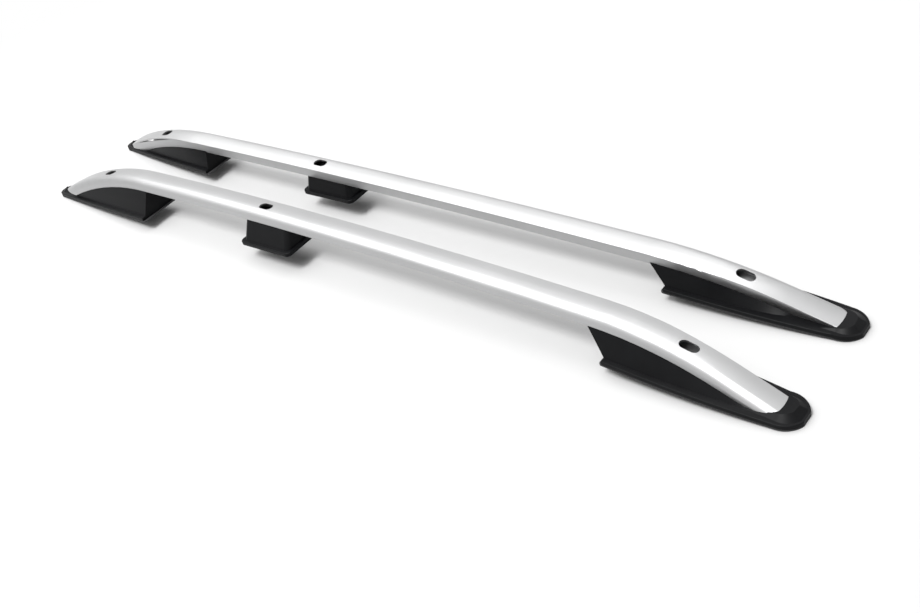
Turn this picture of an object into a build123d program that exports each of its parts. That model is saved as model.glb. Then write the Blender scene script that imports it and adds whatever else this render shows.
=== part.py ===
from build123d import *
from math import asin, atan, cos, degrees, radians, sin, sqrt, tan
import os

os.makedirs("parts", exist_ok=True)

# Overall size of one rail, from the rear foot's tip to the front foot's tip
rail_length = 1504.0
# Distance between the two rails, measured at their foot tips
rail_spacing = 177.0
# Each rail leans towards the other, because the foot bases are cut for a cambered roof
lean_angle = 15.0
# Lengthwise curve of the roof under the feet
roof_radius = 9000.0

# Rail centre line, at the underside of the section
crown_height = 67.0
crown_reach = 620.0
crown_radius = 14850.0
bend_radius = 580.0
rear_tip_height = -19.27
rear_drop_angle = 25.5
front_tip_height = -20.0637
front_drop_angle = 20.5

# Rail section, inner side positive, underside at zero
lip_half_width = 16.6
outer_face_height = 7.0
outer_face_bulge = 1.2
shoulder_width = 7.5
shoulder_height = 20.6
crease_offset = 19.4
section_height = 25.2
top_crown = 0.7
crease_radius = 1.6
lip_radius = 1.4
rail_wall = 2.0
floor_wall = 2.4
inner_corner_radius = 1.0

# Rail ends, cut on a tilted seat inside the end feet
rear_seat_reach = 74.0
rear_seat_level = 7.4
rear_seat_tilt = 9.0
rear_seat_roll = 12.0
front_seat_reach = 74.0
front_seat_level = 3.5
front_seat_tilt = 3.5
front_seat_roll = 4.0
nose_lip = 1.0
rear_end_reach = 37.0
rear_end_corner = 10.0
front_end_reach = 24.0
front_end_outer_corner = 16.0
front_end_inner_corner = 8.0

# Access slots in the rail's top
slot_length = 26.0
slot_width = 15.0
slot_offset = 0.5
rear_slot_reach = 176.0
middle_slot_reach = 598.5
front_slot_reach = 151.5

# Clearances
fit_gap = 0.2
hole_gap = 0.1

# Foot bases
gasket_thickness = 1.5
flange_thickness = 6.0
flange_edge_radius = 1.6
flange_corner = 5.0
foot_wall = 3.2
foot_roof = 3.6
body_inset = 5.5
lip_inset = 1.4
body_tuck = 8.0
body_least_height = 0.1
pad_inset = 2.0
pad_slope_angle = 52.0
rib_thickness = 2.4
hollow_bays = 4
rear_cavity_reach = 92.0
front_cavity_reach = 116.0

# Rear foot plan, outer and inner widths measured from the line through the foot tips
rear_foot_length = 303.0
rear_foot_outer = 27.0
rear_foot_inner = 50.0
rear_nose_length = 16.0
rear_nose_outer = 10.5
rear_nose_inner = 19.0
rear_tip_centre = 4.5
rear_foot_bulge = 2.0
rear_body_rake = 3.0

# Front foot plan, measured the same way
front_foot_length = 264.0
front_foot_outer = 24.0
front_foot_inner = 47.0
front_nose_length = 30.0
front_nose_outer = 23.5
front_nose_inner = 34.0
front_tip_outer = 4.0
front_tip_inner = 15.0
front_corner_bulge = 4.0
front_foot_bulge = 4.0
front_body_rake = 28.0

# Middle foot
middle_foot_centre = 610.5
middle_foot_length = 115.0
middle_foot_outer = 18.5
middle_foot_inner = 45.0
middle_corner = 9.0
middle_body_length = 104.0
middle_top_length = 100.0

# Mounting bolts, their sleeves and bosses
bolt_bore = 6.6
spacer_outer = 12.0
boss_wall = 3.0

# Screws that hold the feet to the rail
screw_diameter = 4.2
screw_head_diameter = 8.0
screw_head_height = 2.6
screw_reach_in_rail = 6.0
rear_screw_reach = 228.0
front_screw_reach = 250.0
screw_pitch = 46.0
middle_screw_pitch = 62.0
screw_tip_chamfer = 0.8
screw_head_round = 0.8

# Half of the distance between the rails, and the lean in radians
half_spacing = rail_spacing / 2
half_length = rail_length / 2
lean = radians(lean_angle)


# Height of the roof line above the floor under the rails
def roof_height(x):
    end_drop = sqrt(roof_radius**2 - half_length**2)
    return sqrt(roof_radius**2 - (x - half_length) ** 2) - end_drop


# Station where a bend leaves the crown's arc, touching that arc and the straight end
def bend_start(tip_x, tip_height, drop, side):
    crown_centre = Vector(crown_reach, crown_height - crown_radius)
    along = Vector(side * cos(drop), sin(drop))
    inward = Vector(side * sin(drop), -cos(drop))
    first_centre = Vector(tip_x, tip_height) + inward * bend_radius - crown_centre
    back = first_centre.dot(along)
    centre_reach = crown_radius - bend_radius
    step = sqrt(back**2 - first_centre.dot(first_centre) + centre_reach**2) - back
    bend_centre = first_centre + along * step
    return crown_reach + bend_centre.X * crown_radius / centre_reach


# Tangent points of the rail's centre line, from the rear end to the front end
rear_drop = radians(rear_drop_angle)
front_drop = radians(front_drop_angle)
rear_bend_x = bend_start(0, rear_tip_height, rear_drop, 1)
front_bend_x = bend_start(rail_length, front_tip_height, front_drop, -1)
rear_bend_angle = asin((crown_reach - rear_bend_x) / crown_radius)
front_bend_angle = asin((front_bend_x - crown_reach) / crown_radius)
rear_bend_z = crown_height - crown_radius * (1 - cos(rear_bend_angle))
front_bend_z = crown_height - crown_radius * (1 - cos(front_bend_angle))
rear_centre_x = rear_bend_x + bend_radius * sin(rear_bend_angle)
rear_centre_z = rear_bend_z - bend_radius * cos(rear_bend_angle)
front_centre_x = front_bend_x - bend_radius * sin(front_bend_angle)
front_centre_z = front_bend_z - bend_radius * cos(front_bend_angle)
rear_line_x = rear_centre_x - bend_radius * sin(rear_drop)
rear_line_z = rear_centre_z + bend_radius * cos(rear_drop)
front_line_x = front_centre_x + bend_radius * sin(front_drop)
front_line_z = front_centre_z + bend_radius * cos(front_drop)


# Height of the rail's centre line in its own plane
def path_height(x):
    if x < rear_line_x:
        return rear_line_z - (rear_line_x - x) * tan(rear_drop)
    if x < rear_bend_x:
        return rear_centre_z + sqrt(bend_radius**2 - (x - rear_centre_x) ** 2)
    if x > front_line_x:
        return front_line_z - (x - front_line_x) * tan(front_drop)
    if x > front_bend_x:
        return front_centre_z + sqrt(bend_radius**2 - (x - front_centre_x) ** 2)
    return crown_height - crown_radius + sqrt(crown_radius**2 - (x - crown_reach) ** 2)


# Slope of the rail's centre line in its own plane, as an angle
def path_angle(x):
    if x < rear_line_x:
        return rear_drop
    if x < rear_bend_x:
        return asin((rear_centre_x - x) / bend_radius)
    if x > front_line_x:
        return -front_drop
    if x > front_bend_x:
        return -asin((x - front_centre_x) / bend_radius)
    return asin((crown_reach - x) / crown_radius)


# Place of a point of the section at station x, with the lean applied
def rail_point(x, across, up):
    angle = path_angle(x)
    along = x - up * sin(angle)
    rise = path_height(x) + up * cos(angle)
    side = across * cos(lean) + rise * sin(lean)
    return Vector(along, side, rise * cos(lean) - across * sin(lean))


# Plane square to the rail at station x, with its normal up out of the section
def rail_plane(x, across, up):
    angle = path_angle(x)
    tangent = Vector(cos(angle), sin(angle) * sin(lean), sin(angle) * cos(lean))
    normal = Vector(-sin(angle), cos(angle) * sin(lean), cos(angle) * cos(lean))
    return Plane(origin=rail_point(x, across, up), x_dir=tangent, z_dir=normal)


# Stations of the ends of the sweep, past the rear and front seats
rear_start = 0.0
front_end = rail_length
lean_plane = Plane(origin=(0, 0, 0), x_dir=(1, 0, 0), z_dir=(0, -cos(lean), sin(lean)))

# Centre line of the rail as one tangent wire
with BuildLine(lean_plane) as rail_path:
    Line((rear_start, path_height(rear_start)), (rear_line_x, rear_line_z))
    rear_mid = (rear_line_x + rear_bend_x) / 2
    ThreePointArc(
        (rear_line_x, rear_line_z),
        (rear_mid, path_height(rear_mid)),
        (rear_bend_x, rear_bend_z),
    )
    crown_mid = (rear_bend_x + front_bend_x) / 2
    ThreePointArc(
        (rear_bend_x, rear_bend_z),
        (crown_mid, path_height(crown_mid)),
        (front_bend_x, front_bend_z),
    )
    front_mid = (front_bend_x + front_line_x) / 2
    ThreePointArc(
        (front_bend_x, front_bend_z),
        (front_mid, path_height(front_mid)),
        (front_line_x, front_line_z),
    )
    Line((front_line_x, front_line_z), (front_end, path_height(front_end)))

# Section plane at the rear end, with its x axis to the inner side and its y axis up
start_angle = path_angle(rear_start)
section_plane = Plane(
    origin=rail_point(rear_start, 0, 0),
    x_dir=(0, cos(lean), -sin(lean)),
    z_dir=(cos(start_angle), sin(start_angle) * sin(lean), sin(start_angle) * cos(lean)),
)


# Outline of the section, moved outwards by grow
def section_outline(grow):
    outer_x = -lip_half_width
    with BuildLine() as outline:
        Line((crease_offset, section_height), (lip_half_width, 0))
        Line((lip_half_width, 0), (outer_x, 0))
        Line((outer_x, 0), (outer_x - outer_face_bulge, outer_face_height))
        ThreePointArc(
            (outer_x - outer_face_bulge, outer_face_height),
            (outer_x + shoulder_width * 0.24, shoulder_height * 0.78),
            (outer_x + shoulder_width, shoulder_height),
        )
        top_middle = (outer_x + shoulder_width + crease_offset) / 2
        ThreePointArc(
            (outer_x + shoulder_width, shoulder_height),
            (top_middle, (shoulder_height + section_height) / 2 + top_crown),
            (crease_offset, section_height),
        )
    with BuildSketch() as section:
        with BuildLine():
            add(outline.line)
        make_face()
        corners = section.vertices()
        crease = corners.sort_by(Axis.Y)[-1]
        fillet(crease, crease_radius)
        lips = section.vertices().sort_by(Axis.Y)[0:2]
        fillet(lips, lip_radius)
        if grow != 0:
            offset(amount=grow, kind=Kind.INTERSECTION)
    return section.sketch


# Hollow section: outer outline less the cavity
def cavity_outline():
    outer_x = -lip_half_width
    roof_y = shoulder_height - rail_wall
    with BuildSketch() as cavity:
        with BuildLine():
            Polyline(
                (crease_offset - rail_wall - 0.2, section_height - rail_wall - 0.4),
                (lip_half_width - rail_wall, floor_wall),
                (outer_x + rail_wall, floor_wall),
                (outer_x + rail_wall - outer_face_bulge, outer_face_height),
            )
            ThreePointArc(
                (outer_x + rail_wall - outer_face_bulge, outer_face_height),
                (outer_x + rail_wall + shoulder_width * 0.2, roof_y * 0.8),
                (outer_x + rail_wall + shoulder_width, roof_y),
            )
            Line(
                (outer_x + rail_wall + shoulder_width, roof_y),
                (crease_offset - rail_wall - 0.2, section_height - rail_wall - 0.4),
            )
        make_face()
        fillet(cavity.vertices().sort_by(Axis.Y)[0:2], inner_corner_radius)
    return cavity.sketch


# Seat planes on which the rail's two ends are cut, rising towards the tips
rear_seat_x = rear_seat_reach
front_seat_x = rail_length - front_seat_reach
rear_seat_z = roof_height(rear_seat_x) + gasket_thickness + rear_seat_level
front_seat_z = roof_height(front_seat_x) + gasket_thickness + front_seat_level


# Plane of a seat, tilted along the rail and rolled across it, with its normal down
def seat_plane(x, z, tilt, roll):
    along = Vector(cos(radians(tilt)), 0, sin(radians(tilt)))
    across = Vector(0, cos(radians(roll)), -sin(radians(roll)))
    return Plane(origin=(x, 0, z), x_dir=across, z_dir=across.cross(along))


rear_seat = seat_plane(rear_seat_x, rear_seat_z, -rear_seat_tilt, rear_seat_roll)
front_seat = seat_plane(front_seat_x, front_seat_z, front_seat_tilt, front_seat_roll)

# Stations of the three mounting bolts, each under its own slot in the rail's top
bolt_stations = [rear_slot_reach, middle_slot_reach, rail_length - front_slot_reach]


# Side place of the slot and bolt at station x
def slot_side(x):
    return rail_point(x, slot_offset, section_height - rail_wall).Y


# Middle of the rail's cavity at station x
def cavity_height(x):
    return rail_point(x, 0, section_height / 2).Z


# Stations of the six screws, two for each foot
rear_screws = [rear_screw_reach, rear_screw_reach + screw_pitch]
middle_screws = [
    middle_foot_centre - middle_screw_pitch / 2,
    middle_foot_centre + middle_screw_pitch / 2,
]
front_screws = [
    rail_length - front_screw_reach,
    rail_length - front_screw_reach + screw_pitch,
]

# Plan outline of the rail, rounded at both ends and moved outwards by grow
def rail_ends(grow):
    start = rear_end_reach - grow
    end = rail_length - front_end_reach + grow
    reach = crease_offset + (section_height + crown_height) * sin(lean) + grow
    low = -lip_half_width - outer_face_bulge - grow
    rear_high = rail_point(start, crease_offset, section_height).Y + grow
    front_high = rail_point(end, crease_offset, section_height).Y + grow
    with BuildSketch() as ends:
        with BuildLine():
            Polyline(
                (start, low),
                (end, low),
                (end, front_high),
                (front_bend_x, reach),
                (rear_bend_x, reach),
                (start, rear_high),
                close=True,
            )
        make_face()
        corners = ends.vertices().sort_by(Axis.X)
        fillet(corners[0:2], rear_end_corner + grow)
        tips = ends.vertices().sort_by(Axis.X)[-2:].sort_by(Axis.Y)
        fillet(tips[0], front_end_outer_corner + grow)
        fillet(tips[1], front_end_inner_corner + grow)
    return ends.sketch


# Rail extrusion, swept along its centre line and cut at both ends
with BuildPart() as rail:
    with BuildSketch(section_plane):
        add(section_outline(0))
        add(cavity_outline(), mode=Mode.SUBTRACT)
    sweep(path=rail_path.line)
    for seat in (rear_seat, front_seat):
        with BuildSketch(seat):
            Rectangle(rail_spacing, rail_length / 2)
        extrude(amount=rail_length / 4, mode=Mode.SUBTRACT)
    with BuildSketch():
        add(rail_ends(0))
    extrude(amount=rail_spacing, both=True, mode=Mode.INTERSECT)
    for x in bolt_stations:
        with BuildSketch(Plane.XY.offset(cavity_height(x))):
            with Locations((x, slot_side(x))):
                SlotOverall(slot_length, slot_width)
        extrude(amount=section_height, mode=Mode.SUBTRACT)
        with BuildSketch(Plane.XY.offset(cavity_height(x))):
            with Locations((x, slot_side(x))):
                Circle(bolt_bore / 2)
        extrude(amount=-section_height, mode=Mode.SUBTRACT)
    for x in rear_screws + middle_screws + front_screws:
        with BuildSketch(rail_plane(x, 0, -fit_gap)):
            Circle(screw_diameter / 2 + hole_gap)
        extrude(amount=floor_wall * 2, mode=Mode.SUBTRACT)

# Space that the rail takes up in the feet, with the fit gap all round
with BuildPart() as rail_space:
    with BuildSketch(section_plane):
        add(section_outline(fit_gap))
    sweep(path=rail_path.line)
    for seat in (rear_seat, front_seat):
        with BuildSketch(seat.offset(fit_gap)):
            Rectangle(rail_spacing, rail_length / 2)
        extrude(amount=rail_length / 4, mode=Mode.SUBTRACT)
    with BuildSketch():
        add(rail_ends(fit_gap))
    extrude(amount=rail_spacing, both=True, mode=Mode.INTERSECT)


# Side place of a foot's edge at station x: a straight line between two ends with a bulge
def plan_edge(x, start, end, bulge):
    share = (x - start[0]) / (end[0] - start[0])
    return start[1] + (end[1] - start[1]) * share + 4 * bulge * share * (1 - share)


# Corners of the end feet in plan, at the inner ends and at the noses
rear_inner_end = rear_foot_length
front_inner_end = rail_length - front_foot_length
rear_nose_x = rear_nose_length
front_nose_x = rail_length - front_nose_length
rear_outer_line = ((rear_nose_x, -rear_nose_outer), (rear_inner_end, -rear_foot_outer))
rear_inner_line = ((rear_nose_x, rear_nose_inner), (rear_inner_end, rear_foot_inner))
front_outer_line = ((front_inner_end, -front_foot_outer), (front_nose_x, -front_nose_outer))
front_inner_line = ((front_inner_end, front_foot_inner), (front_nose_x, front_nose_inner))


# Point in the middle of a foot's edge
def edge_middle(line, bulge):
    middle = (line[0][0] + line[1][0]) / 2
    return (middle, plan_edge(middle, line[0], line[1], bulge))


# Plan outline of the rear foot
def rear_plan():
    with BuildSketch() as plan:
        with BuildLine():
            outer_nose, outer_end = rear_outer_line
            inner_nose, inner_end = rear_inner_line
            ThreePointArc(outer_nose, (0, rear_tip_centre), inner_nose)
            ThreePointArc(inner_nose, edge_middle(rear_inner_line, rear_foot_bulge), inner_end)
            Line(inner_end, outer_end)
            ThreePointArc(outer_end, edge_middle(rear_outer_line, -rear_foot_bulge), outer_nose)
        make_face()
        fillet(plan.vertices().sort_by(Axis.X)[-2:], flange_corner)
    return plan.sketch


# Plan outline of the front foot
def front_plan():
    corner_x = (front_nose_x + rail_length) / 2 + front_corner_bulge
    outer_corner_y = -(front_nose_outer + front_tip_outer) / 2 - front_corner_bulge
    inner_corner_y = (front_nose_inner + front_tip_inner) / 2 + front_corner_bulge
    with BuildSketch() as plan:
        with BuildLine():
            outer_end, outer_nose = front_outer_line
            inner_end, inner_nose = front_inner_line
            outer_tip = (rail_length, -front_tip_outer)
            inner_tip = (rail_length, front_tip_inner)
            ThreePointArc(outer_nose, (corner_x, outer_corner_y), outer_tip)
            Line(outer_tip, inner_tip)
            ThreePointArc(inner_tip, (corner_x, inner_corner_y), inner_nose)
            ThreePointArc(inner_nose, edge_middle(front_inner_line, front_foot_bulge), inner_end)
            Line(inner_end, outer_end)
            ThreePointArc(outer_end, edge_middle(front_outer_line, -front_foot_bulge), outer_nose)
        make_face()
        fillet(plan.vertices().sort_by(Axis.X)[0:2], flange_corner)
    return plan.sketch


# Plan outline of the middle foot
def middle_plan():
    middle_width = middle_foot_outer + middle_foot_inner
    middle_side = (middle_foot_inner - middle_foot_outer) / 2
    with BuildSketch() as plan:
        with Locations((middle_foot_centre, middle_side)):
            RectangleRounded(middle_foot_length, middle_width, middle_corner)
    return plan.sketch


# Band that follows the roof line past both ends of the rail, between two heights above it
def roof_band(low, high):
    start = -half_spacing
    end = rail_length + half_spacing
    with BuildSketch(Plane.XZ) as band:
        with BuildLine():
            for level in (low, high):
                ThreePointArc(
                    (start, level + roof_height(start)),
                    (half_length, level + roof_height(half_length)),
                    (end, level + roof_height(end)),
                )
            for x in (start, end):
                Line((x, low + roof_height(x)), (x, high + roof_height(x)))
        make_face()
    return band.sketch


# Plate of a foot's plan outline that follows the roof between two heights
def roof_plate(plan, low, high):
    with BuildPart() as plate:
        with BuildSketch():
            add(plan)
        extrude(amount=rail_spacing, both=True)
        with BuildSketch(Plane.XZ):
            add(roof_band(low, high))
        extrude(amount=rail_spacing, both=True, mode=Mode.INTERSECT)
    return plate.part


# Levels above the roof line
flange_low = gasket_thickness
flange_high = gasket_thickness + flange_thickness


# Bays between the cross ribs of a hollow, as pairs of stations
def rib_bays(start, end):
    bay = (end - start - rib_thickness * (hollow_bays - 1)) / hollow_bays
    starts = [start + n * (bay + rib_thickness) for n in range(hollow_bays)]
    return [(bay_start, bay_start + bay) for bay_start in starts]


# Four corners of a foot's body in the cross plane at station x
def body_corners(x, outer_base, inner_base, base_level, inset, up):
    lip = lip_half_width - lip_inset - inset
    outer_top = rail_point(x, -lip, up)
    inner_top = rail_point(x, lip, up)
    base = roof_height(x) + base_level
    lowest_top = base + body_least_height
    return [
        (outer_base + inset, base),
        (outer_top.Y, max(outer_top.Z, lowest_top)),
        (inner_top.Y, max(inner_top.Z, lowest_top)),
        (inner_base - inset, base),
    ]


# Loft through cross sections of a foot's body at several stations
def body_loft(stations, outer_at, inner_at, base_level, inset, up):
    with BuildPart() as body:
        for x in stations:
            with BuildSketch(Plane.YZ.offset(x)):
                with BuildLine():
                    corners = body_corners(x, outer_at(x), inner_at(x), base_level, inset, up)
                    Polyline(*corners, close=True)
                make_face()
        loft()
    return body.part


# Edges of the bodies at their base, set in from the flange's edges
def rear_outer_at(x):
    return plan_edge(x, *rear_outer_line, -rear_foot_bulge) + body_inset


def rear_inner_at(x):
    return plan_edge(x, *rear_inner_line, rear_foot_bulge) - body_inset


def front_outer_at(x):
    return plan_edge(x, *front_outer_line, -front_foot_bulge) + body_inset


def front_inner_at(x):
    return plan_edge(x, *front_inner_line, front_foot_bulge) - body_inset


# Stations evenly spaced between two ends
def even_stations(start, end, count):
    return [start + (end - start) * n / (count - 1) for n in range(count)]


# Inner ends of the bodies at their base, set in from the flange's ends
rear_body_end = rear_inner_end - flange_corner
front_body_end = front_inner_end + flange_corner
rear_top_end = rear_body_end + rear_body_rake
front_top_end = front_body_end - front_body_rake
rear_stations = even_stations(rear_seat_x - body_inset, rear_top_end, 6)
front_stations = even_stations(front_top_end, front_seat_x + body_inset, 6)
body_low = flange_low + flange_thickness / 4
hollow_low = flange_low - flange_thickness


# Wedge that rakes a body's inner end, from the flange's top to the rail's underside
def rake_wedge(base_x, top_x):
    side = 1 if top_x > base_x else -1
    low = roof_height(base_x)
    base_z = low + flange_high
    top_z = rail_point(top_x, -lip_half_width, 0).Z
    past = top_x + side * flange_corner
    corners = [(base_x, low), (base_x, base_z), (top_x, top_z), (past, top_z), (past, low)]
    with BuildPart() as wedge:
        with BuildSketch(Plane.XZ):
            with BuildLine():
                Polyline(*corners, close=True)
            make_face()
        extrude(amount=rail_spacing, both=True)
    return wedge.part


# Sloping pad under a rail end, cut to the seat plane
def nose_pad(plan, start_x, nose_x, seat):
    side = 1 if nose_x > start_x else -1
    level = roof_height(nose_x) + flange_low + flange_thickness / 2
    with BuildPart() as pad:
        with BuildSketch(Plane.XY.offset(level)):
            add(plan)
            offset(amount=-pad_inset, kind=Kind.INTERSECTION)
            with Locations((start_x + side * half_length / 2, 0)):
                Rectangle(half_length, rail_spacing, mode=Mode.INTERSECT)
        extrude(amount=pad_height, taper=pad_slope_angle)
        split(bisect_by=seat.offset(-nose_lip), keep=Keep.TOP)
        add(roof_plate(plan, flange_low, flange_high + pad_height), mode=Mode.INTERSECT)
    return pad.part


# Boss round the sleeve of a mounting bolt
def bolt_boss(x):
    low = roof_height(x) + flange_low
    with BuildPart() as boss:
        with BuildSketch(Plane.XY.offset(low)):
            with Locations((x, slot_side(x))):
                Circle(spacer_outer / 2 + hole_gap + boss_wall)
        extrude(amount=rail_point(x, 0, body_tuck).Z - low)
    return boss.part


# Body of the middle foot, tapered up to the rail, moved inwards by inset
def middle_body(inset):
    base_z = roof_height(middle_foot_centre) + flange_high
    top_z = rail_point(middle_foot_centre, 0, body_tuck).Z
    seat_z = rail_point(middle_foot_centre, 0, 0).Z
    outer_lip = rail_point(middle_foot_centre, lip_inset - lip_half_width, 0)
    inner_lip = rail_point(middle_foot_centre, lip_half_width - lip_inset, 0)
    outer_base = body_inset - middle_foot_outer
    inner_base = middle_foot_inner - body_inset
    outer_slope = (outer_lip.Y - outer_base) / (outer_lip.Z - base_z)
    inner_slope = (inner_lip.Y - inner_base) / (inner_lip.Z - base_z)
    length_slope = (middle_top_length - middle_body_length) / (seat_z - base_z)
    with BuildPart() as body:
        for z in (roof_height(middle_foot_centre) + flange_low - inset, top_z):
            outer_y = outer_base + outer_slope * (z - base_z) + inset
            inner_y = inner_base + inner_slope * (z - base_z) - inset
            length = middle_body_length + length_slope * (z - base_z) - 2 * inset
            with BuildSketch(Plane.XY.offset(z)):
                with Locations((middle_foot_centre, (outer_y + inner_y) / 2)):
                    RectangleRounded(length, inner_y - outer_y, middle_corner - inset)
        loft()
    return body.part


# Cuts that every foot has: roof, rail, bolt sleeve and screw holes
def foot_cuts(plan, bolt_x, screw_stations):
    with BuildPart() as cuts:
        add(rail_space.part)
        add(roof_plate(plan, flange_low - flange_thickness, flange_low))
        with BuildSketch():
            with Locations((bolt_x, slot_side(bolt_x))):
                Circle(spacer_outer / 2 + hole_gap)
        extrude(amount=rail_spacing)
        for x in screw_stations:
            with BuildSketch(rail_plane(x, 0, 0)):
                Circle(screw_diameter / 2 + hole_gap)
            extrude(amount=-foot_roof - fit_gap - floor_wall)
            with BuildSketch(rail_plane(x, 0, -foot_roof - fit_gap)):
                Circle(screw_head_diameter / 2 + fit_gap)
            extrude(amount=-screw_head_height - floor_wall)
    return cuts.part


pad_height = rear_seat_reach * tan(radians(rear_seat_tilt)) + rear_seat_level + nose_lip

# Rear foot: flange, hollow body and nose pad
with BuildPart() as rear_foot:
    add(roof_plate(rear_plan(), flange_low, flange_high))
    fillet(rear_foot.faces().sort_by(Axis.Z)[-1].edges(), flange_edge_radius)
    add(body_loft(rear_stations, rear_outer_at, rear_inner_at, body_low, 0, body_tuck))
    add(rake_wedge(rear_body_end, rear_top_end), mode=Mode.SUBTRACT)
    add(nose_pad(rear_plan(), rear_seat_x + pad_height, rear_nose_x, rear_seat))
    for bay in rib_bays(rear_cavity_reach, rear_body_end - foot_wall):
        stations = even_stations(*bay, 3)
        add(
            body_loft(stations, rear_outer_at, rear_inner_at, hollow_low, foot_wall, -foot_roof),
            mode=Mode.SUBTRACT,
        )
    add(bolt_boss(bolt_stations[0]))
    add(foot_cuts(rear_plan(), bolt_stations[0], rear_screws), mode=Mode.SUBTRACT)


# Front foot: flange, hollow body and nose pad
with BuildPart() as front_foot:
    add(roof_plate(front_plan(), flange_low, flange_high))
    fillet(front_foot.faces().sort_by(Axis.Z)[-1].edges(), flange_edge_radius)
    add(body_loft(front_stations, front_outer_at, front_inner_at, body_low, 0, body_tuck))
    add(rake_wedge(front_body_end, front_top_end), mode=Mode.SUBTRACT)
    add(nose_pad(front_plan(), front_seat_x - pad_height, front_nose_x, front_seat))
    for bay in rib_bays(front_body_end + foot_wall, rail_length - front_cavity_reach):
        stations = even_stations(*bay, 3)
        add(
            body_loft(stations, front_outer_at, front_inner_at, hollow_low, foot_wall, -foot_roof),
            mode=Mode.SUBTRACT,
        )
    add(bolt_boss(bolt_stations[2]))
    add(foot_cuts(front_plan(), bolt_stations[2], front_screws), mode=Mode.SUBTRACT)

# Hollow of the middle foot, up to the roof under the rail
with BuildPart() as middle_hollow:
    add(middle_body(foot_wall))
    with BuildSketch(rail_plane(middle_foot_centre, 0, -foot_roof)):
        Rectangle(rail_spacing, rail_spacing)
    extrude(amount=rail_spacing, mode=Mode.SUBTRACT)

# Middle foot: flange and hollow body
with BuildPart() as middle_foot:
    add(roof_plate(middle_plan(), flange_low, flange_high))
    fillet(middle_foot.faces().sort_by(Axis.Z)[-1].edges(), flange_edge_radius)
    add(middle_body(0))
    add(middle_hollow.part, mode=Mode.SUBTRACT)
    add(bolt_boss(bolt_stations[1]))
    add(foot_cuts(middle_plan(), bolt_stations[1], middle_screws), mode=Mode.SUBTRACT)


# Rubber sheet under an end foot, with a hole for the bolt sleeve
def gasket(plan, bolt_x):
    with BuildPart() as sheet:
        add(roof_plate(plan, 0, gasket_thickness - hole_gap))
        with BuildSketch():
            with Locations((bolt_x, slot_side(bolt_x))):
                Circle(spacer_outer / 2 + hole_gap)
        extrude(amount=rail_spacing, mode=Mode.SUBTRACT)
    return sheet.part


# Steel sleeve round a mounting bolt, from the foot's underside up to the rail
def spacer(bolt_x):
    low = roof_height(bolt_x) + flange_low
    with BuildPart() as sleeve:
        with BuildSketch(Plane.XY.offset(low)):
            with Locations((bolt_x, slot_side(bolt_x))):
                Circle(spacer_outer / 2)
                Circle(bolt_bore / 2, mode=Mode.SUBTRACT)
        extrude(amount=rail_point(bolt_x, 0, body_tuck).Z - low)
        add(rail_space.part, mode=Mode.SUBTRACT)
    return sleeve.part


# Two pan head screws that hold a foot to the rail
def foot_screws(stations):
    shank = foot_roof + fit_gap + floor_wall + screw_reach_in_rail
    with BuildPart() as screws:
        for x in stations:
            with BuildSketch(rail_plane(x, 0, -foot_roof - fit_gap)):
                Circle(screw_head_diameter / 2)
            head = extrude(amount=-screw_head_height)
            fillet(head.faces().sort_by(Axis.Z)[0].edges(), screw_head_round)
            with BuildSketch(rail_plane(x, 0, -foot_roof - fit_gap)):
                Circle(screw_diameter / 2)
            stem = extrude(amount=shank)
            chamfer(stem.faces().sort_by(Axis.Z)[-1].edges(), screw_tip_chamfer)
    return screws.part


# All pieces of one rail, with the names of their nodes
pieces = {
    "rail_extrusion": rail.part,
    "front_foot": front_foot.part,
    "middle_foot": middle_foot.part,
    "rear_foot": rear_foot.part,
    "front_gasket": gasket(front_plan(), bolt_stations[2]),
    "rear_gasket": gasket(rear_plan(), bolt_stations[0]),
    "front_spacer": spacer(bolt_stations[2]),
    "middle_spacer": spacer(bolt_stations[1]),
    "rear_spacer": spacer(bolt_stations[0]),
    "front_foot_screws": foot_screws(front_screws),
    "middle_foot_screws": foot_screws(middle_screws),
    "rear_foot_screws": foot_screws(rear_screws),
}

# Right rail on the minus side and its mirror image on the plus side
for name, piece in pieces.items():
    with BuildPart() as right_piece:
        with Locations((-half_length, -half_spacing, 0)):
            add(piece)
    right_piece.part.label = "right_" + name
    export_step(right_piece.part, "parts/right_" + name + ".step")
    with BuildPart() as left_piece:
        mirror(right_piece.part, about=Plane.XZ)
    left_piece.part.label = "left_" + name
    export_step(left_piece.part, "parts/left_" + name + ".step")

# Where the mounting bolts come out, for the record
for x in bolt_stations:
    print("bolt", x - half_length, slot_side(x) - half_spacing, roof_height(x) + flange_low)
    print("bore length", rail_point(x, 0, 0).Z - roof_height(x) - flange_low)
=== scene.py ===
import math

import bpy
from mathutils import Matrix, Vector

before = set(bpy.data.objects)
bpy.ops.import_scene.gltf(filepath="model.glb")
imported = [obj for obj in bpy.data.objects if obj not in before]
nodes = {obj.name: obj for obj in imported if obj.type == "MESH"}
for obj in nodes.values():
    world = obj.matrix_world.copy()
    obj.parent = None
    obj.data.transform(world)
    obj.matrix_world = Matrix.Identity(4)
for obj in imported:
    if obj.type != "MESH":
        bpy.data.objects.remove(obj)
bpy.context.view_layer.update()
scene = bpy.context.scene

UP = Vector((0.0, 0.0, 1.0))
EVEN = (1.0, 1.0, 1.0)

# Camera: place, three turn angles and focal length solved from the photograph
CAMERA_PLACE = Vector((1.20017, -0.94701, 0.98262))
CAMERA_YAW = 0.839328
CAMERA_PITCH = 0.642615
CAMERA_ROLL = 0.292319
CAMERA_LENS = 45.0145
SENSOR_WIDTH = 36.0
CLIP_START = 0.05
CLIP_END = 60.0

# Shading: decimals of a place in metres that tell two points apart, and limit angles in degrees
POSITION_DIGITS = 6
RAIL_SMOOTH_LIMIT = 62.0
SMOOTH_LIMIT = 32.0

# The part of a noise texture's range that is spread over a material's own range
NOISE_LOW = 0.25
NOISE_HIGH = 0.75

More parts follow.
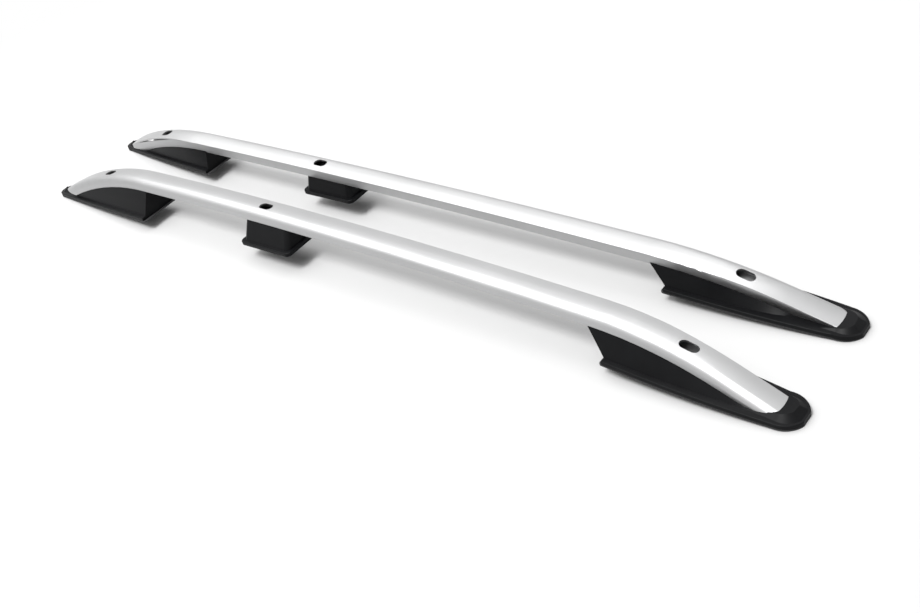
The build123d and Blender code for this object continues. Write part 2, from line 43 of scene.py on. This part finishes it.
# Rail: grain is stretched along X, and each bump is its strength and its height in metres
RAIL_DARK = (0.42, 0.421, 0.424)
RAIL_LIGHT = (0.46, 0.461, 0.464)
RAIL_ROUGHNESS = (0.36, 0.44)
RAIL_ANISOTROPY = 0.2
RAIL_GRAIN_STRETCH = (6.0, 900.0, 900.0)
RAIL_BROAD_STRETCH = (1.0, 3.0, 3.0)
RAIL_FINE_SCALE = 2600.0
RAIL_BROAD_SCALE = 6.0
RAIL_GRAIN_BUMP = (0.05, 0.0002)
RAIL_FINE_BUMP = (0.10, 0.00012)

# Feet
PLASTIC_DARK = (0.0035, 0.0036, 0.0040)
PLASTIC_LIGHT = (0.0060, 0.0062, 0.0068)
PLASTIC_ROUGHNESS = (0.36, 0.46)
PLASTIC_SPECULAR = 0.08
PLASTIC_GRAIN_SCALE = 1500.0
PLASTIC_BROAD_SCALE = 22.0
PLASTIC_BUMP = (0.12, 0.0002)

# Gaskets
RUBBER_DARK = (0.016, 0.016, 0.017)
RUBBER_LIGHT = (0.028, 0.028, 0.029)
RUBBER_ROUGHNESS = (0.68, 0.82)
RUBBER_GRAIN_SCALE = 900.0
RUBBER_BUMP = (0.25, 0.0002)

# Sleeves and screws
SLEEVE_TINT = (0.62, 0.62, 0.61)
SCREW_TINT = (0.55, 0.55, 0.54)
STEEL_DULL_SHARE = 0.85
STEEL_ROUGHNESS = (0.24, 0.38)
STEEL_GRAIN_SCALE = 700.0
STEEL_BUMP = (0.08, 0.0001)

# Floor: plain near the rails, and fading into the white background between two distances
FLOOR_SIZE = 40.0
FLOOR_ALBEDO = 0.52
FLOOR_ROUGHNESS = 0.85
FLOOR_SPECULAR = 0.1
FLOOR_FADE_START = 1.0
FLOOR_FADE_END = 1.7

# Studio light: a narrow overhead light for the shadows, a wide softbox for the sheen
OVERHEAD_TOWARDS = (-0.06, -0.50, 1.0)
OVERHEAD_ANGLE = 20.0
OVERHEAD_STRENGTH = 2.8
SOFTBOX_TOWARDS = (-0.27, -0.08, 0.96)
SOFTBOX_DISTANCE = 3.0
SOFTBOX_SIZE = 5.0
SOFTBOX_RADIANCE = 2.1
WORLD_SOFT = 0.35
PLAIN_WHITE = 1.0


def make_camera():
    cy, sy = math.cos(CAMERA_YAW), math.sin(CAMERA_YAW)
    cp, sp = math.cos(CAMERA_PITCH), math.sin(CAMERA_PITCH)
    cr, sr = math.cos(CAMERA_ROLL), math.sin(CAMERA_ROLL)
    right = Vector((cy, sy, 0.0))
    level = Vector((-sy, cy, 0.0))
    forward = level * cp - UP * sp
    down = -level * sp - UP * cp
    turned_right = right * cr + down * sr
    turned_down = down * cr - right * sr
    turn = Matrix((turned_right, -turned_down, -forward)).transposed()
    data = bpy.data.cameras.new("camera")
    data.lens = CAMERA_LENS
    data.sensor_width = SENSOR_WIDTH
    data.sensor_fit = "HORIZONTAL"
    data.clip_start = CLIP_START
    data.clip_end = CLIP_END
    camera = bpy.data.objects.new("camera", data)
    camera.matrix_world = Matrix.Translation(CAMERA_PLACE) @ turn.to_4x4()
    scene.collection.objects.link(camera)
    scene.camera = camera


# Node material helpers
def new_material(name):
    material = bpy.data.materials.new(name)
    material.use_nodes = True
    tree = material.node_tree
    tree.nodes.clear()
    output = tree.nodes.new("ShaderNodeOutputMaterial")
    shader = tree.nodes.new("ShaderNodeBsdfPrincipled")
    tree.links.new(shader.outputs["BSDF"], output.inputs["Surface"])
    return material, tree, shader


def object_place(tree, scale=EVEN):
    place = tree.nodes.new("ShaderNodeTexCoord")
    stretch = tree.nodes.new("ShaderNodeMapping")
    stretch.inputs["Scale"].default_value = scale
    tree.links.new(place.outputs["Object"], stretch.inputs["Vector"])
    return stretch.outputs["Vector"]


def noise(tree, vector, scale, detail, roughness=0.5):
    node = tree.nodes.new("ShaderNodeTexNoise")
    node.inputs["Scale"].default_value = scale
    node.inputs["Detail"].default_value = detail
    node.inputs["Roughness"].default_value = roughness
    tree.links.new(vector, node.inputs["Vector"])
    return node.outputs["Fac"]


def spread(tree, value, low, high):
    node = tree.nodes.new("ShaderNodeMapRange")
    node.inputs["From Min"].default_value = NOISE_LOW
    node.inputs["From Max"].default_value = NOISE_HIGH
    node.inputs["To Min"].default_value = low
    node.inputs["To Max"].default_value = high
    tree.links.new(value, node.inputs["Value"])
    return node.outputs["Result"]


def bump(tree, height, strength, distance, after=None):
    node = tree.nodes.new("ShaderNodeBump")
    node.inputs["Strength"].default_value = strength
    node.inputs["Distance"].default_value = distance
    tree.links.new(height, node.inputs["Height"])
    if after is not None:
        tree.links.new(after, node.inputs["Normal"])
    return node.outputs["Normal"]


def set_colour(tree, shader, value, dark, light):
    node = tree.nodes.new("ShaderNodeMix")
    node.data_type = "RGBA"
    node.inputs["A"].default_value = (*dark, 1.0)
    node.inputs["B"].default_value = (*light, 1.0)
    tree.links.new(spread(tree, value, 0.0, 1.0), node.inputs["Factor"])
    tree.links.new(node.outputs["Result"], shader.inputs["Base Color"])


# Anodised aluminium with a fine grain along the rail
def rail_metal():
    material, tree, shader = new_material("rail_aluminium")
    grain = noise(tree, object_place(tree, RAIL_GRAIN_STRETCH), 1.0, 4.0, 0.6)
    fine = noise(tree, object_place(tree), RAIL_FINE_SCALE, 3.0, 0.6)
    broad = noise(tree, object_place(tree, RAIL_BROAD_STRETCH), RAIL_BROAD_SCALE, 2.0)
    set_colour(tree, shader, broad, RAIL_DARK, RAIL_LIGHT)
    tree.links.new(spread(tree, grain, *RAIL_ROUGHNESS), shader.inputs["Roughness"])
    shader.inputs["Metallic"].default_value = 1.0
    shader.inputs["Anisotropic"].default_value = RAIL_ANISOTROPY
    normal = bump(tree, grain, *RAIL_GRAIN_BUMP)
    tree.links.new(bump(tree, fine, *RAIL_FINE_BUMP, normal), shader.inputs["Normal"])
    return material


# Black moulded plastic with a fine spark-eroded texture
def foot_plastic():
    material, tree, shader = new_material("foot_plastic")
    grain = noise(tree, object_place(tree), PLASTIC_GRAIN_SCALE, 3.0, 0.6)
    broad = noise(tree, object_place(tree), PLASTIC_BROAD_SCALE, 3.0)
    set_colour(tree, shader, broad, PLASTIC_DARK, PLASTIC_LIGHT)
    tree.links.new(spread(tree, broad, *PLASTIC_ROUGHNESS), shader.inputs["Roughness"])
    shader.inputs["Specular IOR Level"].default_value = PLASTIC_SPECULAR
    tree.links.new(bump(tree, grain, *PLASTIC_BUMP), shader.inputs["Normal"])
    return material


# Rubber sheet, paler and duller than the plastic
def gasket_rubber():
    material, tree, shader = new_material("gasket_rubber")
    grain = noise(tree, object_place(tree), RUBBER_GRAIN_SCALE, 4.0, 0.65)
    set_colour(tree, shader, grain, RUBBER_DARK, RUBBER_LIGHT)
    tree.links.new(spread(tree, grain, *RUBBER_ROUGHNESS), shader.inputs["Roughness"])
    tree.links.new(bump(tree, grain, *RUBBER_BUMP), shader.inputs["Normal"])
    return material


# Zinc plated steel of sleeves and screws
def plated_steel(name, tint):
    material, tree, shader = new_material(name)
    grain = noise(tree, object_place(tree), STEEL_GRAIN_SCALE, 4.0, 0.6)
    dull = tuple(channel * STEEL_DULL_SHARE for channel in tint)
    set_colour(tree, shader, grain, dull, tint)
    tree.links.new(spread(tree, grain, *STEEL_ROUGHNESS), shader.inputs["Roughness"])
    shader.inputs["Metallic"].default_value = 1.0
    tree.links.new(bump(tree, grain, *STEEL_BUMP), shader.inputs["Normal"])
    return material


# One where the camera sees a surface, straight or by glossy and transmission rays, and zero elsewhere
def seen_by_camera(tree):
    ray = tree.nodes.new("ShaderNodeLightPath")
    seen = ray.outputs["Is Camera Ray"]
    for kind in ("Is Glossy Ray", "Is Transmission Ray"):
        either = tree.nodes.new("ShaderNodeMath")
        either.operation = "MAXIMUM"
        tree.links.new(seen, either.inputs[0])
        tree.links.new(ray.outputs[kind], either.inputs[1])
        seen = either.outputs["Value"]
    return seen


# Floor that keeps the shadow near the rails and is plain white farther out
def floor_white():
    material, tree, shader = new_material("floor_white")
    shader.inputs["Base Color"].default_value = (FLOOR_ALBEDO, FLOOR_ALBEDO, FLOOR_ALBEDO, 1.0)
    shader.inputs["Roughness"].default_value = FLOOR_ROUGHNESS
    shader.inputs["Specular IOR Level"].default_value = FLOOR_SPECULAR
    reach = tree.nodes.new("ShaderNodeVectorMath")
    reach.operation = "LENGTH"
    tree.links.new(object_place(tree), reach.inputs[0])
    fade = tree.nodes.new("ShaderNodeMapRange")
    fade.interpolation_type = "SMOOTHSTEP"
    fade.inputs["From Min"].default_value = FLOOR_FADE_START
    fade.inputs["From Max"].default_value = FLOOR_FADE_END
    tree.links.new(reach.outputs["Value"], fade.inputs["Value"])
    share = tree.nodes.new("ShaderNodeMath")
    share.operation = "MULTIPLY"
    tree.links.new(fade.outputs["Result"], share.inputs[0])
    tree.links.new(seen_by_camera(tree), share.inputs[1])
    white = tree.nodes.new("ShaderNodeEmission")
    white.inputs["Strength"].default_value = PLAIN_WHITE
    mixed = tree.nodes.new("ShaderNodeMixShader")
    tree.links.new(share.outputs["Value"], mixed.inputs["Fac"])
    tree.links.new(shader.outputs["BSDF"], mixed.inputs[1])
    tree.links.new(white.outputs["Emission"], mixed.inputs[2])
    output = next(node for node in tree.nodes if node.bl_idname == "ShaderNodeOutputMaterial")
    tree.links.new(mixed.outputs["Shader"], output.inputs["Surface"])
    return material


# Each CAD node gets the material of its name's ending
def dress_nodes():
    materials = {
        "rail_extrusion": rail_metal(),
        "foot": foot_plastic(),
        "gasket": gasket_rubber(),
        "spacer": plated_steel("sleeve_steel", SLEEVE_TINT),
        "screws": plated_steel("screw_steel", SCREW_TINT),
    }
    for name, node in nodes.items():
        for ending, material in materials.items():
            if name.endswith(ending):
                node.data.materials.clear()
                node.data.materials.append(material)


def place_of(mesh, corner):
    return tuple(round(value, POSITION_DIGITS) for value in mesh.vertices[corner].co)


# Shading normals: faces that meet below the limit share one, weighted by their area
def shade_smoothly(mesh, limit):
    least = math.cos(math.radians(limit))
    faces_at = {}
    for polygon in mesh.polygons:
        for corner in polygon.vertices:
            faces_at.setdefault(place_of(mesh, corner), []).append(polygon.index)
    directions = [polygon.normal.copy() for polygon in mesh.polygons]
    areas = [polygon.area for polygon in mesh.polygons]
    normals = []
    for polygon in mesh.polygons:
        own = directions[polygon.index]
        for corner in polygon.vertices:
            total = Vector((0.0, 0.0, 0.0))
            for index in faces_at[place_of(mesh, corner)]:
                if directions[index].dot(own) > least:
                    total += directions[index] * areas[index]
            normals.append(total.normalized() if total.length > 0.0 else own)
    for polygon in mesh.polygons:
        polygon.use_smooth = True
    mesh.normals_split_custom_set(normals)


def shade_nodes():
    for name, node in nodes.items():
        is_rail = name.endswith("rail_extrusion")
        shade_smoothly(node.data, RAIL_SMOOTH_LIMIT if is_rail else SMOOTH_LIMIT)


# Floor, lights and background
def make_floor():
    bpy.ops.mesh.primitive_plane_add(size=FLOOR_SIZE, location=(0.0, 0.0, 0.0))
    floor = bpy.context.object
    floor.name = "floor"
    floor.data.materials.append(floor_white())


def soft_sun(name, towards, angle, strength):
    data = bpy.data.lights.new(name, "SUN")
    data.energy = strength
    data.angle = math.radians(angle)
    light = bpy.data.objects.new(name, data)
    light.rotation_euler = Vector(towards).to_track_quat("Z", "Y").to_euler()
    scene.collection.objects.link(light)


def softbox(name, towards, distance, size, radiance):
    data = bpy.data.lights.new(name, "AREA")
    data.shape = "SQUARE"
    data.size = size
    data.energy = radiance * math.pi * size**2
    light = bpy.data.objects.new(name, data)
    light.location = Vector(towards).normalized() * distance
    light.rotation_euler = Vector(towards).to_track_quat("Z", "Y").to_euler()
    scene.collection.objects.link(light)


def world_background(tree, strength):
    background = tree.nodes.new("ShaderNodeBackground")
    background.inputs["Color"].default_value = (*EVEN, 1.0)
    background.inputs["Strength"].default_value = strength
    return background.outputs["Background"]


# World: soft for the light that falls on surfaces, white where camera, metal or glass see it
def make_world():
    world = bpy.data.worlds.new("studio")
    world.use_nodes = True
    scene.world = world
    tree = world.node_tree
    tree.nodes.clear()
    output = tree.nodes.new("ShaderNodeOutputWorld")
    mixed = tree.nodes.new("ShaderNodeMixShader")
    tree.links.new(seen_by_camera(tree), mixed.inputs["Fac"])
    tree.links.new(world_background(tree, WORLD_SOFT), mixed.inputs[1])
    tree.links.new(world_background(tree, PLAIN_WHITE), mixed.inputs[2])
    tree.links.new(mixed.outputs["Shader"], output.inputs["Surface"])


dress_nodes()
shade_nodes()
make_camera()
make_floor()
make_world()
soft_sun("overhead", OVERHEAD_TOWARDS, OVERHEAD_ANGLE, OVERHEAD_STRENGTH)
softbox("softbox", SOFTBOX_TOWARDS, SOFTBOX_DISTANCE, SOFTBOX_SIZE, SOFTBOX_RADIANCE)

scene.view_settings.view_transform = "Standard"
